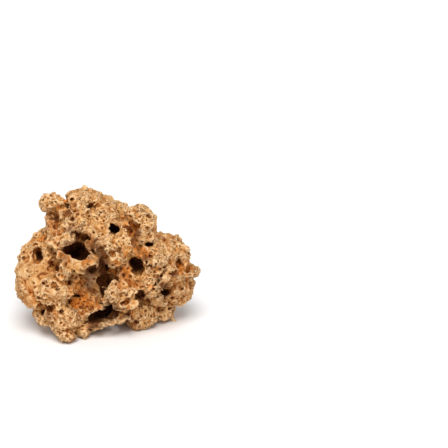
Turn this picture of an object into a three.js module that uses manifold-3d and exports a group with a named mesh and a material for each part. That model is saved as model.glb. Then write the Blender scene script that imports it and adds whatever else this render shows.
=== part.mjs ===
// A porous aquascape rock: one natural lump of weathered clay stone, about as wide as a hand is long.
// It is one solid: rounded masses grown together, knobs on them, and water-worn hollows and holes in them.
// It rests on the small worn flats under its feet.
// Millimetres, +Z up, +Y away from the viewer, origin under the middle of the stone, on the ground.
import * as THREE from "three";
import { SimplifyModifier } from "three/addons/modifiers/SimplifyModifier.js";
import { mergeVertices } from "three/addons/utils/BufferGeometryUtils.js";
import Module from "manifold-3d";

const wasm = await Module();
wasm.setup();

// Driving dimensions, in millimetres and degrees.
const STONE_WIDTH = 160;
const FOOT_CUT = 1.2;
const VIEW_ELEVATION = 20;
const VIEW_DISTANCE = 1200;
const VIEW_AIM_HEIGHT = 56;
const LOWEST_FOOT_UP = -66.4;
const SWELL_SIZE = 21;
const SWELL_DEPTH = 3.4;
const GRAIN_SIZE = 8;
const GRAIN_DEPTH = 1.5;
const MASS_FACET = 6.5;
const KNOB_FACET = 4.5;
const HOLLOW_FACET = 4;
const FACET_LIMIT = 9600;
const KNOB_STRENGTH = 0.5;
const HOLLOW_STRENGTH = 0.35;
const LOWEST_KNOB = 14;
const LOWEST_HOLLOW = 12;
const GROUND_SIZE = 400;
const MERGE_WITHIN = 1e-4;
const STONE_COLOUR = 0xc9a077;
const STONE_ROUGHNESS = 0.92;

// An icosahedron's edge is this many of its radii long.
const ICOSAHEDRON_EDGE = 1.05;

// Large odd multipliers and shifts that scatter a lattice corner over a whole number's range, and half
// of that range.
const SCATTER_X = 374761393;
const SCATTER_Y = 668265263;
const SCATTER_Z = 1440662683;
const SCATTER_AGAIN = 1274126177;
const FIRST_SHIFT = 13;
const SECOND_SHIFT = 16;
const HALF_RANGE = 2 ** 31;

// Seeds: the weather's push along each axis, the grain's step from the swells, and the layer of chance.
const PUSH_SEEDS = [3, 17, 31];
const GRAIN_SEED_STEP = 7;
const CHANCE_LAYER = 77;

// What each random number is for.
const USE = {
  knobRadius: 1,
  knobSink: 2,
  knobDepth: 3,
  knobHeight: 4,
  hollowWidth: 5,
  hollowDepth: 6,
  hollowHeight: 7,
  knobLine: 101,
  hollowLine: 201,
};

// Noise: a smooth random field from -1 to 1, mixed from the corners of a unit lattice.
function latticeValue(i, j, k) {
  let h = Math.imul(i, SCATTER_X) + Math.imul(j, SCATTER_Y) + Math.imul(k, SCATTER_Z);
  h = Math.imul(h ^ (h >>> FIRST_SHIFT), SCATTER_AGAIN);
  return ((h ^ (h >>> SECOND_SHIFT)) >>> 0) / HALF_RANGE - 1;
}

function noise(point, size, seed) {
  const q = point.clone().divideScalar(size).addScalar(seed);
  const [i, j, k] = [Math.floor(q.x), Math.floor(q.y), Math.floor(q.z)];
  const ease = (t) => t * t * (3 - 2 * t);
  const [u, v, w] = [ease(q.x - i), ease(q.y - j), ease(q.z - k)];
  const mix = THREE.MathUtils.lerp;
  const edge = (b, c) => mix(latticeValue(i, j + b, k + c), latticeValue(i + 1, j + b, k + c), u);
  return mix(mix(edge(0, 0), edge(1, 0), v), mix(edge(0, 1), edge(1, 1), v), w);
}

// A seeded random number between two limits, by its index and its use.
function chance(index, use, low, high) {
  return THREE.MathUtils.lerp(low, high, (latticeValue(index, use, CHANCE_LAYER) + 1) / 2);
}

// A point moved by the weather: wide swells and a finer grain, along all three axes.
function weathered(point, strength) {
  const push = (seed) =>
    SWELL_DEPTH * noise(point, SWELL_SIZE, seed) +
    GRAIN_DEPTH * noise(point, GRAIN_SIZE, seed + GRAIN_SEED_STEP);
  return new THREE.Vector3(...PUSH_SEEDS.map(push)).multiplyScalar(strength).add(point);
}

// A closed three.js geometry as a solid, and back.
function solidOf(geometry) {
  const mesh = new wasm.Mesh({
    numProp: 3,
    vertProperties: geometry.attributes.position.array,
    triVerts: new Uint32Array(geometry.index.array),
  });
  return new wasm.Manifold(mesh);
}

function geometryOf(solid) {
  const mesh = solid.getMesh();
  const position = new THREE.BufferAttribute(new Float32Array(mesh.vertProperties), 3);
  return new THREE.BufferGeometry()
    .setAttribute("position", position)
    .setIndex(new THREE.BufferAttribute(new Uint32Array(mesh.triVerts), 1));
}

function bare(geometry) {
  geometry.deleteAttribute("normal");
  geometry.deleteAttribute("uv");
  return mergeVertices(geometry, MERGE_WITHIN);
}

// A weathered ellipsoid with this many cuts along each edge of its icosahedron.
function ellipsoid(centre, radii, detail, turn, strength) {
  const geometry = bare(new THREE.IcosahedronGeometry(1, detail));
  geometry.applyMatrix4(new THREE.Matrix4().compose(centre, turn, radii));
  const position = geometry.attributes.position;
  for (let i = 0; i < position.count; i++) {
    const point = weathered(new THREE.Vector3().fromBufferAttribute(position, i), strength);
    position.setXYZ(i, ...point.toArray());
  }
  return solidOf(geometry);
}

// The detail that gives facets about this wide.
function detailFor(radii, facet) {
  return Math.max(1, Math.round((ICOSAHEDRON_EDGE * Math.cbrt(radii.x * radii.y * radii.z)) / facet - 1));
}

const UNTURNED = new THREE.Quaternion();

// The masses that the stone grew from: centre x, y, z, then radii x, y, z.
const MASSES = {
  core: [-2, 8, 54, 58, 44, 40],
  base: [0, 12, 28, 50, 36, 22],
  belly: [0, 12, 14, 36, 22, 12],
  face: [2, -8, 76, 42, 30, 30],
  upper_block: [-13, 10, 93, 36, 34, 20],
  top_crest: [-19, 6, 111, 18, 19, 12],
  left_lobe: [-56.5, -4, 48, 21, 31, 28],
  left_shoulder: [-52, 2, 66, 20, 28, 18],
  left_column: [-44, 0, 92, 11, 14, 19],
  corner_neck: [-40, -3, 106, 12, 12, 10],
  corner_knob: [-47.5, -6, 113, 9, 10, 9],
  right_top_lobe: [27, -12, 96, 14, 18, 15],
  top_right_back: [16, 24, 84, 22, 22, 18],
  right_shoulder: [47, 4, 58, 24, 34, 23],
  right_spur: [66, 2, 49, 15, 12, 8],
  right_lobe: [59, 6, 36, 16, 22, 14],
  right_low_lobe: [55, 14, 22, 12, 14, 8],
  right_foot: [47, 10, 13, 13, 15, 14],
  middle_foot: [29.5, -6, 15, 14, 14, 16],
  centre_lump: [12, -31, 41, 17, 16, 15],
  crater_lump: [-44, -31, 46, 16, 16, 17],
  front_leg_top: [-44, -26, 29, 14, 15, 14],
  front_leg: [-38, -32, 17, 12, 12, 15],
  leg_web: [-27, -25, 21, 16, 12, 12],
  front_foot: [-36, -39, 6, 7.5, 7.5, 8],
  second_foot: [-22, -26, 9, 7.5, 8, 10],
  left_low_bulge: [-47.5, -16, 21, 13, 14, 12],
  left_ledge: [-8, -19, 17, 17, 13, 8],
  right_ledge: [14, -19, 21, 17, 13, 8],
  right_waist: [43, -8, 37, 14, 14, 14],
  ridge_left: [-36, -35, 62, 10, 10, 10],
  ridge_middle: [-25, -36, 67, 11, 9, 8],
  ridge_right: [-12, -33, 70, 10, 9, 8],
  rim_lump: [6, -32, 80, 15, 12, 15],
  brow: [-30, -18, 94, 21, 14, 15],
  cheek: [32, -22, 68, 20, 18, 20],
  low_cheek: [33, -24, 50, 14, 14, 13],
  back_left_foot: [-36, 31, 11, 12, 13, 13],
  back_left_leg: [-32, 27, 29, 20, 19, 19],
  back_right_foot: [26, 36, 11, 13, 11, 13],
  back_right_leg: [24, 30, 30, 20, 19, 19],
  back_left_lobe: [-32, 33, 66, 20, 18, 24],
  back_right_lobe: [27, 38, 60, 19, 17, 18],
  back_middle: [-2, 43, 47, 17, 16, 22],
  back_ledge: [8, 40, 84, 25, 12, 10],
  back_crest: [-14, 28, 102, 19, 15, 13],
  left_back_lobe: [-58, 20, 50, 15, 18, 21],
  right_back_lobe: [52, 28, 44, 16, 16, 17],
};

let stone = null;
for (const [x, y, z, rx, ry, rz] of Object.values(MASSES)) {
  const radii = new THREE.Vector3(rx, ry, rz);
  const mass = ellipsoid(new THREE.Vector3(x, y, z), radii, detailFor(radii, MASS_FACET), UNTURNED, 1);
  stone = stone ? stone.add(mass) : mass;
}

// The viewer's line through a spot of the front view: across from the stone's middle, and up from the
// lowest foot, both in millimetres on a plane that faces the viewer through the stone's middle.
const elevation = THREE.MathUtils.degToRad(VIEW_ELEVATION);
const viewDirection = new THREE.Vector3(0, Math.cos(elevation), -Math.sin(elevation));
const viewUp = new THREE.Vector3(0, Math.sin(elevation), Math.cos(elevation));
const aim = new THREE.Vector3(0, 0, VIEW_AIM_HEIGHT);
const eye = aim.clone().addScaledVector(viewDirection, -VIEW_DISTANCE);

function viewLine(across, up) {
  const spot = aim.clone().addScaledVector(viewUp, up + LOWEST_FOOT_UP);
  spot.x += across;
  return [eye.clone(), spot.sub(eye).normalize()];
}

// A line toward the stone's waist from any side: degrees anticlockwise from the viewer's side, degrees
// above the level, and the height that it aims for. The waist is a flat oval inside the stone.
const FAR = 300;
const WAIST_X = 25;
const WAIST_Y = 12;
const WAIST_MIDDLE_Y = 6;

function sideLine(around, above, height) {
  const [turn, lift] = [THREE.MathUtils.degToRad(around), THREE.MathUtils.degToRad(above)];
  const level = Math.cos(lift);
  const outward = new THREE.Vector3(Math.sin(turn) * level, -Math.cos(turn) * level, Math.sin(lift));
  const target = new THREE.Vector3(outward.x * WAIST_X, WAIST_MIDDLE_Y + outward.y * WAIST_Y, height);
  return [target.clone().addScaledVector(outward, FAR), outward.negate()];
}

// A random line toward the stone, by its index and its use, from 30 degrees below the level, which has
// this sine, to straight above.
const LOWEST_SINE = -0.5;
const FULL_TURN = 360;
const WAIST_LOW = 30;
const WAIST_HIGH = 80;

function randomLine(index, use) {
  const above = THREE.MathUtils.radToDeg(Math.asin(chance(index, use + 1, LOWEST_SINE, 1)));
  return sideLine(chance(index, use, 0, FULL_TURN), above, chance(index, use + 2, WAIST_LOW, WAIST_HIGH));
}

// A probe finds where a line first meets the stone as it is when the probe is made.
function probeOf(solid) {
  const mesh = new THREE.Mesh(geometryOf(solid));
  const caster = new THREE.Raycaster();
  return (from, direction) => {
    caster.set(from, direction);
    return caster.intersectObject(mesh)[0];
  };
}

// Knobs of the front: across, up, radius.
const FRONT_KNOBS = [
  [-29, 127, 7],
  [-13, 129, 8],
  [-22, 112, 9],
  [23, 110, 7],
  [34, 105, 7],
  [38, 92, 7],
  [28, 91, 7],
  [53, 82, 6.5],
  [63, 71, 7],
  [70, 62, 6],
  [9, 76, 7],
  [36, 53, 9],
  [69, 53, 6],
  [67, 43, 6.5],
  [50, 58, 8],
  [-3, 85, 9],
  [18, 84, 9],
  [-45, 86, 8],
  [-71, 62, 9],
  [-72, 46, 9],
  [-62, 36, 8],
  [-52, 52, 8],
  [-31, 22, 7],
  [-44, 14, 6],
  [52, 24, 8],
  [36, 16, 7],
  [22, 31, 8],
  [3, 44, 7],
  [-10, 103, 10],
  [-58, 92, 6],
  [-64, 82, 7],
  [45, 72, 8],
  [33, 72, 7],
];
const KNOB_COUNT = 120;
const SMALLEST_KNOB = 5;
const LARGEST_KNOB = 11;

// Shares of a knob's radius, lowest and highest: its centre's way out of the surface, depth, and height.
const KNOB_OUT = [-0.6, -0.25];
const KNOB_DEPTH = [0.7, 1.2];
const KNOB_HEIGHT = [0.7, 1.1];

const smoothProbe = probeOf(stone);

// Whether the stone hides a ball from the viewer: the lines to its four edges meet the stone first, with a
// margin. Both numbers are shares of the ball's radius.
const HIDDEN_EDGE = 1.2;
const HIDDEN_MARGIN = 0.5;

function hiddenFromFront(centre, radius) {
  const sideways = new THREE.Vector3(1, 0, 0);
  const edges = [viewUp, viewUp.clone().negate(), sideways, sideways.clone().negate()];
  return edges.every((edge) => {
    const line = centre.clone().addScaledVector(edge, radius * HIDDEN_EDGE).sub(eye);
    const hit = smoothProbe(eye, line.clone().normalize());
    return hit && hit.distance < line.length() - radius * HIDDEN_MARGIN;
  });
}

const knobLines = FRONT_KNOBS.map(([across, up, radius]) => [viewLine(across, up), radius]);
for (let i = 0; i < KNOB_COUNT; i++) {
  const radius = chance(i, USE.knobRadius, SMALLEST_KNOB, LARGEST_KNOB);
  knobLines.push([randomLine(i, USE.knobLine), radius]);
}
knobLines.forEach(([line, radius], i) => {
  const hit = smoothProbe(...line);
  if (!hit || hit.point.z < LOWEST_KNOB) return;
  const out = radius * chance(i, USE.knobSink, ...KNOB_OUT);
  const centre = hit.point.clone().addScaledVector(hit.face.normal, out);
  if (i >= FRONT_KNOBS.length && !hiddenFromFront(centre, radius)) return;
  const depth = radius * chance(i, USE.knobDepth, ...KNOB_DEPTH);
  const height = radius * chance(i, USE.knobHeight, ...KNOB_HEIGHT);
  const radii = new THREE.Vector3(radius, depth, height);
  stone = stone.add(ellipsoid(centre, radii, detailFor(radii, KNOB_FACET), UNTURNED, KNOB_STRENGTH));
});

// A hollow's solid: an oval finger that starts outside the surface and runs in along a direction.
const MOUTH = 0.82;
const FINGER_CENTRE = 0.36;
const FINGER_REACH = 0.64;

function finger(surface, inward, width, height, depth, roll) {
  const side = new THREE.Vector3().crossVectors(inward, new THREE.Vector3(0, 0, 1)).normalize();
  const up = new THREE.Vector3().crossVectors(side, inward);
  const basis = new THREE.Matrix4().makeBasis(side, up, inward.clone().negate());
  const turn = new THREE.Quaternion().setFromRotationMatrix(basis);
  turn.multiply(new THREE.Quaternion().setFromAxisAngle(new THREE.Vector3(0, 0, 1), roll));
  const centre = surface.clone().addScaledVector(inward, depth * FINGER_CENTRE);
  const radii = new THREE.Vector3(width / 2 / MOUTH, height / 2 / MOUTH, depth * FINGER_REACH);
  return ellipsoid(centre, radii, detailFor(radii, HOLLOW_FACET), turn, HOLLOW_STRENGTH);
}

// The hollows of the front: across, up, width, height, depth, and roll in degrees, anticlockwise.
const FRONT_HOLLOWS = {
  great_hollow: [-23.8, 76.2, 25, 18.5, 46, -20],
  great_hollow_corner: [-33.3, 80.3, 12, 9.5, 30, 0],
  hood: [-22.1, 90.5, 19, 14, 21, -10],
  bowl: [-8.2, 53.6, 32, 30, 30, 20],
  bowl_apron: [-20.3, 38.1, 24, 22, 13, 0],
  bowl_throat: [1.4, 52.6, 14, 13, 44, 0],
  bowl_chimney: [-5.6, 67.5, 7.5, 13, 30, 0],
  slanted_hole: [25.2, 67, 11, 16, 30, 25],
  upper_hole: [6.5, 97.4, 10.5, 9.5, 28, 0],
  eye_hole: [35.9, 84.8, 6.5, 4.5, 16, 0],
  low_cave: [-0.7, 27, 32, 13, 42, 16],
  side_hole: [28.1, 39.8, 8, 8, 22, 0],
  side_recess: [34.2, 37.2, 8, 9, 6, 0],
  right_hole: [48.9, 44.1, 10, 10, 20, 0],
  left_hole: [-59.3, 74.4, 8.5, 11, 19, 10],
  low_left_hole: [-54.9, 26, 7.5, 7, 16, 0],
  low_left_recess: [-48.9, 29.4, 8.5, 8, 7, 0],
  left_recess: [-43.7, 62.3, 10, 10, 7, 0],
  column_crevice: [-43.7, 105.5, 6, 13, 17, 0],
  knot_hole: [-34.2, 115, 5, 6, 9, 0],
  top_slit: [-15.1, 117.6, 10, 3, 9, 8],
  lobe_recess: [22.9, 98.6, 11, 11, 8, 0],
  apron_hole: [-26.4, 39.8, 8, 4, 11, 0],
  apron_side_hole: [-33.3, 36.3, 4.5, 5.5, 9, 0],
  crater: [-42.8, 45.8, 9.5, 5.5, 5, 0],
  centre_crater: [14.3, 34.6, 8.5, 6, 6, 0],
  ridge_hole: [-11.7, 63.1, 6, 4, 8, 0],
};

// The large hollows of the sides, back and top: the line's three numbers, then width, height, depth, roll.
const SIDE_HOLLOWS = {
  back_recess: [172, 5, 64, 27, 21, 20, 20],
  back_recess_throat: [176, 0, 60, 13, 12, 38, 0],
  back_low_cave: [188, -5, 18, 30, 13, 30, 0],
  back_shoulder_hollow: [152, 20, 84, 15, 11, 20, -30],
  back_left_hollow: [214, 8, 46, 15, 20, 22, 15],
  back_high_hollow: [205, 30, 88, 13, 10, 16, 40],
  right_back_hollow: [128, 5, 44, 16, 12, 22, 10],
  right_side_hollow: [88, 12, 46, 19, 19, 24, 25],
  right_side_cave: [100, -5, 20, 24, 11, 22, 0],
  right_low_hollow: [66, 4, 60, 9, 12, 15, 0],
  left_side_hollow: [272, 10, 56, 18, 12, 22, -25],
  left_side_low_hollow: [258, 0, 28, 12, 15, 18, 10],
  left_top_hollow: [290, 45, 70, 13, 9, 16, 0],
  top_hollow: [120, 68, 90, 17, 13, 16, 30],
  top_back_hollow: [190, 55, 90, 12, 9, 18, 60],
};
const RANDOM_HOLLOW_COUNT = 90;
const SMALLEST_HOLLOW = 4.5;
const HOLLOW_SPREAD = 8;
const SMALL_BIAS = 2;

// Shares of a random hollow's width, lowest and highest: its depth and its height.
const HOLLOW_DEPTH = [0.9, 2.2];
const HOLLOW_HEIGHT = [0.6, 1.1];

const probe = probeOf(stone);
const hollows = [];
for (const [across, up, width, height, depth, roll] of Object.values(FRONT_HOLLOWS)) {
  const [from, direction] = viewLine(across, up);
  const hit = probe(from, direction);
  hollows.push(finger(hit.point, direction, width, height, depth, THREE.MathUtils.degToRad(roll)));
}
for (const [around, above, level, width, height, depth, roll] of Object.values(SIDE_HOLLOWS)) {
  const [from, direction] = sideLine(around, above, level);
  const hit = probe(from, direction);
  hollows.push(finger(hit.point, direction, width, height, depth, THREE.MathUtils.degToRad(roll)));
}
for (let i = 0; i < RANDOM_HOLLOW_COUNT; i++) {
  const [from, direction] = randomLine(i, USE.hollowLine);
  const hit = probe(from, direction);
  const seenFromFront = hit && hit.face.normal.dot(viewDirection) < 0;
  if (!hit || seenFromFront || hit.point.z < LOWEST_HOLLOW) continue;
  const width = SMALLEST_HOLLOW + HOLLOW_SPREAD * chance(i, USE.hollowWidth, 0, 1) ** SMALL_BIAS;
  const depth = width * chance(i, USE.hollowDepth, ...HOLLOW_DEPTH);
  const height = width * chance(i, USE.hollowHeight, ...HOLLOW_HEIGHT);
  hollows.push(finger(hit.point, direction, width, height, depth, i));
}
for (const hollow of hollows) stone = stone.subtract(hollow);

// The facets are thinned where the surface is even enough to need fewer.
const surplus = Math.max(0, (stone.numTri() - FACET_LIMIT) / 2);
stone = solidOf(bare(await new SimplifyModifier().modify(geometryOf(stone), surplus)));

// The feet are worn flat where the stone stands.
const ground = bare(new THREE.BoxGeometry(GROUND_SIZE, GROUND_SIZE, GROUND_SIZE));
ground.translate(0, 0, FOOT_CUT - GROUND_SIZE / 2);
stone = stone.subtract(solidOf(ground));

// Crumbs that the hollows cut loose are dropped.
const pieces = stone.decompose().sort((a, b) => b.volume() - a.volume());
stone = pieces[0];

const geometry = geometryOf(stone);
geometry.computeBoundingBox();
const { min, max } = geometry.boundingBox;
geometry.translate(-(min.x + max.x) / 2, -(min.y + max.y) / 2, -min.z);
const fit = STONE_WIDTH / (max.x - min.x);
geometry.scale(fit, fit, fit);

const rock = new THREE.Mesh(
  geometry,
  new THREE.MeshStandardMaterial({ color: STONE_COLOUR, roughness: STONE_ROUGHNESS, metalness: 0 }),
);
rock.name = "stone";

const group = new THREE.Group();
group.add(rock);
export default group;
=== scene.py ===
# %% [markdown]
# # A porous aquascape stone
# The object is one lump of weathered clay stone, 16 cm wide, standing on its own feet on a pale surface.
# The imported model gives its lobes, knobs, legs and hollows as flat facets.
# Water has worn the real one into rounded forms, and left it full of pits with raised rims.
# So the facets are turned into a field of distances, that field is worn and pitted, and a new skin is
# drawn round what is left.

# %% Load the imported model
import math

import bpy
import numpy as np
import openvdb as vdb
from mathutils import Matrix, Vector


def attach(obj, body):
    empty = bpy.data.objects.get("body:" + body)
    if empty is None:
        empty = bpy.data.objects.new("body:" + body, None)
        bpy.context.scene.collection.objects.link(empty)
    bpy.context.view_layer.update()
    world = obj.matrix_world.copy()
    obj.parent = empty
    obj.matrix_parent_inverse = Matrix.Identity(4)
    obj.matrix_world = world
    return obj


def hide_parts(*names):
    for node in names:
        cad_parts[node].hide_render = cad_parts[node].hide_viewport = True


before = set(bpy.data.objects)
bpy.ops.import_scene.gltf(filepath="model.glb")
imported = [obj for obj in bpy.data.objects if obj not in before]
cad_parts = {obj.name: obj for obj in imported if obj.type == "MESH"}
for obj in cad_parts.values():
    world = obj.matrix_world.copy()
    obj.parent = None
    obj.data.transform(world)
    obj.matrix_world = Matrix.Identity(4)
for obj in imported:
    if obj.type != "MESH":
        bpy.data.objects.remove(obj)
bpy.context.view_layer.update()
CAD_NODE = "stone"
MM = 1000.0

# %% [markdown]
# ## The camera
# The photograph looks down on the stone by about 20 degrees, through a long lens. The camera stands
# 1.2 m away, with the lens that makes the stone as many picture spots wide as in the photograph. It is
# turned, not shifted, so that the stone lies left of and below the middle of the picture.
# It is made first, because marks on the stone are placed along its lines of sight.

# %% Camera
PICTURE_PX = 448
STONE_PX = 185
STONE_WIDTH = 0.160
VIEW_ELEVATION = math.radians(20)
AIM = Vector((-0.00104, -0.00506, 0.05544))
AIM_PX = (107.5, 265.2)
VIEW_DISTANCE = 1.2141
LENS_DISTANCE = 1.2
SENSOR = 36.0
LENS = SENSOR * LENS_DISTANCE / (PICTURE_PX * STONE_WIDTH / STONE_PX)
CLIP_END = 20

sight = Vector((0, math.cos(VIEW_ELEVATION), -math.sin(VIEW_ELEVATION)))
eye = AIM - sight * VIEW_DISTANCE
pixel = SENSOR / LENS / PICTURE_PX
off_axis = Vector(((AIM_PX[0] - PICTURE_PX / 2) * pixel, (PICTURE_PX / 2 - AIM_PX[1]) * pixel, -1))
base_turn = sight.to_track_quat("-Z", "Y")
camera_turn = base_turn @ off_axis.rotation_difference(Vector((0, 0, -1)))

camera_data = bpy.data.cameras.new("camera")
camera_data.lens = LENS
camera_data.sensor_width = SENSOR
camera_data.clip_end = CLIP_END
camera = bpy.data.objects.new("camera", camera_data)
camera.location = eye
camera.rotation_mode = "QUATERNION"
camera.rotation_quaternion = camera_turn
bpy.context.scene.collection.objects.link(camera)
bpy.context.scene.camera = camera
print("lens", round(LENS, 1), "mm, camera height", round(eye.z, 3), "m")

# %% [markdown]
# ## The rough form as distances
# A mesh is awkward to erode: its corners cross each other. A grid that holds the distance to the surface,
# below zero inside and above zero outside, can be cut, filled and blurred with plain arithmetic.
# The grid's cells are about half a millimetre wide, a third of the smallest pit.

# %% Corners and triangles of the solid
CELL = 0.55
BAND_CELLS = 12


def mesh_arrays(mesh):
    """Corner places in millimetres, and three corner numbers for each triangle."""
    mesh.calc_loop_triangles()
    places = np.empty(len(mesh.vertices) * 3, np.float32)
    mesh.vertices.foreach_get("co", places)
    corners = np.empty(len(mesh.loop_triangles) * 3, np.int32)
    mesh.loop_triangles.foreach_get("vertices", corners)
    return places.reshape(-1, 3) * MM, corners.reshape(-1, 3)


places, triangles = mesh_arrays(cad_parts[CAD_NODE].data)
places, same = np.unique(np.round(places, 3), axis=0, return_inverse=True)
triangles = same.reshape(-1)[triangles]
print("corners", len(places), "triangles", len(triangles))

# %% The distance field
MARGIN = 8.0
grid_low = np.floor(places.min(0) - MARGIN)
grid_shape = tuple(np.ceil((places.max(0) - grid_low + MARGIN) / CELL).astype(int))
grid = vdb.FloatGrid.createLevelSetFromPolygons(
    (places - grid_low).astype(np.float32), triangles=triangles.astype(np.uint32),
    transform=vdb.createLinearTransform(voxelSize=CELL), halfWidth=BAND_CELLS,
)
field = np.full(grid_shape, BAND_CELLS * CELL, np.float32)
grid.copyToArray(field)


def inside_cm3():
    """The field's solid volume: the cells below zero."""
    return round(float((field < 0).sum()) * CELL**3 / 1000, 1)


print("grid", field.shape, "solid, cubic cm:", inside_cm3())

# %% [markdown]
# ## Melting the facets
# The real stone has no flat facets: its lumps run into each other. A blur of the field, a weighted mean
# of each cell and its neighbours along the three axes in turn, rounds the edges and fills the creases.


# %% A blur along the three axes
def blurred(values, width):
    """Mean of neighbours weighted by exp(-half of (cells away / width) squared), along each axis in turn."""
    reach = int(math.ceil(2.5 * width))
    weights = np.exp(-0.5 * (np.arange(-reach, reach + 1) / width) ** 2).astype(np.float32)
    weights /= weights.sum()
    for axis in range(3):
        padded = np.pad(values, [(reach, reach) if a == axis else (0, 0) for a in range(3)], mode="edge")
        count = values.shape[axis]
        values = sum(w * padded.take(range(k, k + count), axis=axis) for k, w in enumerate(weights))
    return values


MELT = 0.8
field = blurred(field, MELT / CELL)
print("melted, cubic cm:", inside_cm3())

# %% [markdown]
# ## Weathering
# Clay stone wears unevenly: soft parts sink, hard parts stay proud. Added to a distance field, a smooth
# random number moves the surface in or out by that many millimetres. The numbers sit at the corners of a
# coarse lattice and are stretched over the whole grid by smooth weights, one axis after another.


# %% Smooth random numbers over the grid
def stretched_noise(spacing, seed):
    """Random numbers `spacing` millimetres apart, spread by cubic bell weights; about -2 to 2."""
    rng = np.random.default_rng(seed)
    values = rng.standard_normal([int(n * CELL / spacing) + 5 for n in grid_shape]).astype(np.float32)
    for axis, count in enumerate(grid_shape):
        at = np.arange(count) * CELL / spacing
        first, part = at.astype(int), at % 1
        square, cube = part**2, part**3
        weights = (1 - part) ** 3, 3 * cube - 6 * square + 4, 1 + 3 * part + 3 * square - 3 * cube, cube
        matrix = np.zeros((count, values.shape[axis]), np.float32)
        for k, weight in enumerate(weights):
            matrix[np.arange(count), first + k] = weight / 6
        values = np.moveaxis(np.tensordot(matrix, values, (1, axis)), 0, axis)
    return values / values.std()


WEAR = 0.3
field += WEAR
# spacing and depth in mm, seed
SWELLS = ((9.0, 0.7, 11), (4.5, 0.4, 12))
for spacing, depth, seed in SWELLS:
    field += depth * stretched_noise(spacing, seed)
WOBBLE_SPACING, WOBBLE_SEED = 2.4, 13
wobble = stretched_noise(WOBBLE_SPACING, WOBBLE_SEED)
print("worn, cubic cm:", inside_cm3())

# %% [markdown]
# ## Finding places on the stone
# Two kinds of places are needed: random ones all over the surface, and named ones. A named one is a spot of
# the picture, and it is looked up along the camera's line through that spot, so it lands on the right lump.


# %% Random spots on the surface
def outward_at(spots):
    """The way out of the stone at each spot: where the distance grows fastest."""
    cells = np.clip((spots / CELL).round().astype(int), 2, np.array(grid_shape) - 3)
    steps = np.eye(3, dtype=int) * 2
    ahead = np.stack([field[tuple((cells + step).T)] for step in steps], 1)
    outward = ahead - np.stack([field[tuple((cells - step).T)] for step in steps], 1)
    return outward / (np.linalg.norm(outward, axis=1, keepdims=True) + 1e-6)


def surface_spots(spacing, seed):
    """From each cube of this width that the surface crosses, one cell at random, with its way outward."""
    rng = np.random.default_rng(seed)
    cells = np.argwhere(np.abs(field) < CELL / 2)
    cells = cells[rng.permutation(len(cells))]
    cubes = ((cells * CELL + rng.uniform(0, spacing, 3)) // spacing).astype(int)
    cells = cells[np.unique(cubes, axis=0, return_index=True)[1]]
    return cells * CELL, outward_at(cells * CELL), rng


print("cells on the surface:", int((np.abs(field) < CELL / 2).sum()))

# %% Spots along a line of sight
LINE_BEFORE, LINE_BEYOND = 110, 90
MOUTH_RING = 0.65


def sight_line(across, down):
    """Places half a cell apart along the line through this spot of the picture, and its direction."""
    toward = Vector(((across - PICTURE_PX / 2) * pixel, (PICTURE_PX / 2 - down) * pixel, -1)).normalized()
    direction = np.array(camera_turn @ toward)
    steps = np.arange(VIEW_DISTANCE * MM - LINE_BEFORE, VIEW_DISTANCE * MM + LINE_BEYOND, CELL / 2)
    return np.array(eye) * MM - grid_low + steps[:, None] * direction, direction


def first_wall(line):
    """How many steps along a line of sight the stone begins."""
    cells = np.clip((line / CELL).round().astype(int), 0, np.array(grid_shape) - 1)
    return (field[tuple(cells.T)] < 0).argmax()


def sight_spot(across, down):
    """Where the line through this spot of the picture first meets the stone."""
    line, _ = sight_line(across, down)
    return line[first_wall(line)]


def mouth_spot(across, down, width, height):
    """A hollow's mouth: on its line of sight, as far off as the middle of eight spots round its edge."""
    line, direction = sight_line(across, down)
    angles = np.arange(8) * math.pi / 4
    ring = [(math.cos(a) * width * MOUTH_RING, math.sin(a) * height * MOUTH_RING) for a in angles]
    steps = [first_wall(sight_line(across + x, down + y)[0]) for x, y in ring]
    return line[int(np.median([n for n in steps if n]))], direction


camera_right = np.array(camera_turn @ Vector((1, 0, 0)))
PX_MM = STONE_WIDTH / STONE_PX * MM
MIDDLE_SPOT = (110, 250)
print("the middle of the picture's stone, mm:", np.round(sight_spot(*MIDDLE_SPOT) + grid_low, 1))

# %% [markdown]
# ## Lumps
# The skin is knobbly, like cauliflower: small round lumps sit close together, with creases between them.
# Each is a ball joined softly to the field. Only the block of cells round a ball is touched, so thousands
# of balls take seconds.


# %% Joining a ball: numbers are shares of its radius
LUMP_BLOCK, LUMP_ROUGH, LUMP_EASE = 1.5, 0.12, 0.35


def block_round(middle, reach):
    """The field's block within a reach of a point, the random wobble there, and the ways from the point."""
    first = np.maximum(((middle - reach) / CELL).astype(int), 0)
    last = np.minimum(((middle + reach) / CELL).astype(int) + 2, grid_shape)
    part = tuple(slice(a, b) for a, b in zip(first, last))
    away = [np.arange(a, b, dtype=np.float32) * CELL - m for a, b, m in zip(first, last, middle)]
    return field[part], wobble[part], np.ix_(*away)


def soft_top(a, b, ease):
    """The larger of two numbers, rounded where they are within `ease` of each other."""
    near = np.maximum(ease - np.abs(a - b), 0)
    return np.maximum(a, b) + near * near / (4 * ease)


def add_lump(spot, outward, radius, sink):
    """Joins a ball whose middle lies `sink` radii below the surface."""
    block, rough, (x, y, z) = block_round(spot - outward * radius * sink, radius * LUMP_BLOCK)
    ball = np.sqrt(x * x + y * y + z * z) - radius + LUMP_ROUGH * radius * rough
    block[:] = -soft_top(-block, -ball, LUMP_EASE * radius)


# %% Taking out a ball with a raised rim: numbers are shares of its radius
PIT_BLOCK, PIT_ROUGH, PIT_EASE = 1.9, 0.14, 0.3
RIM_AT, RIM_WIDTH = 1.3, 0.4


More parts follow.
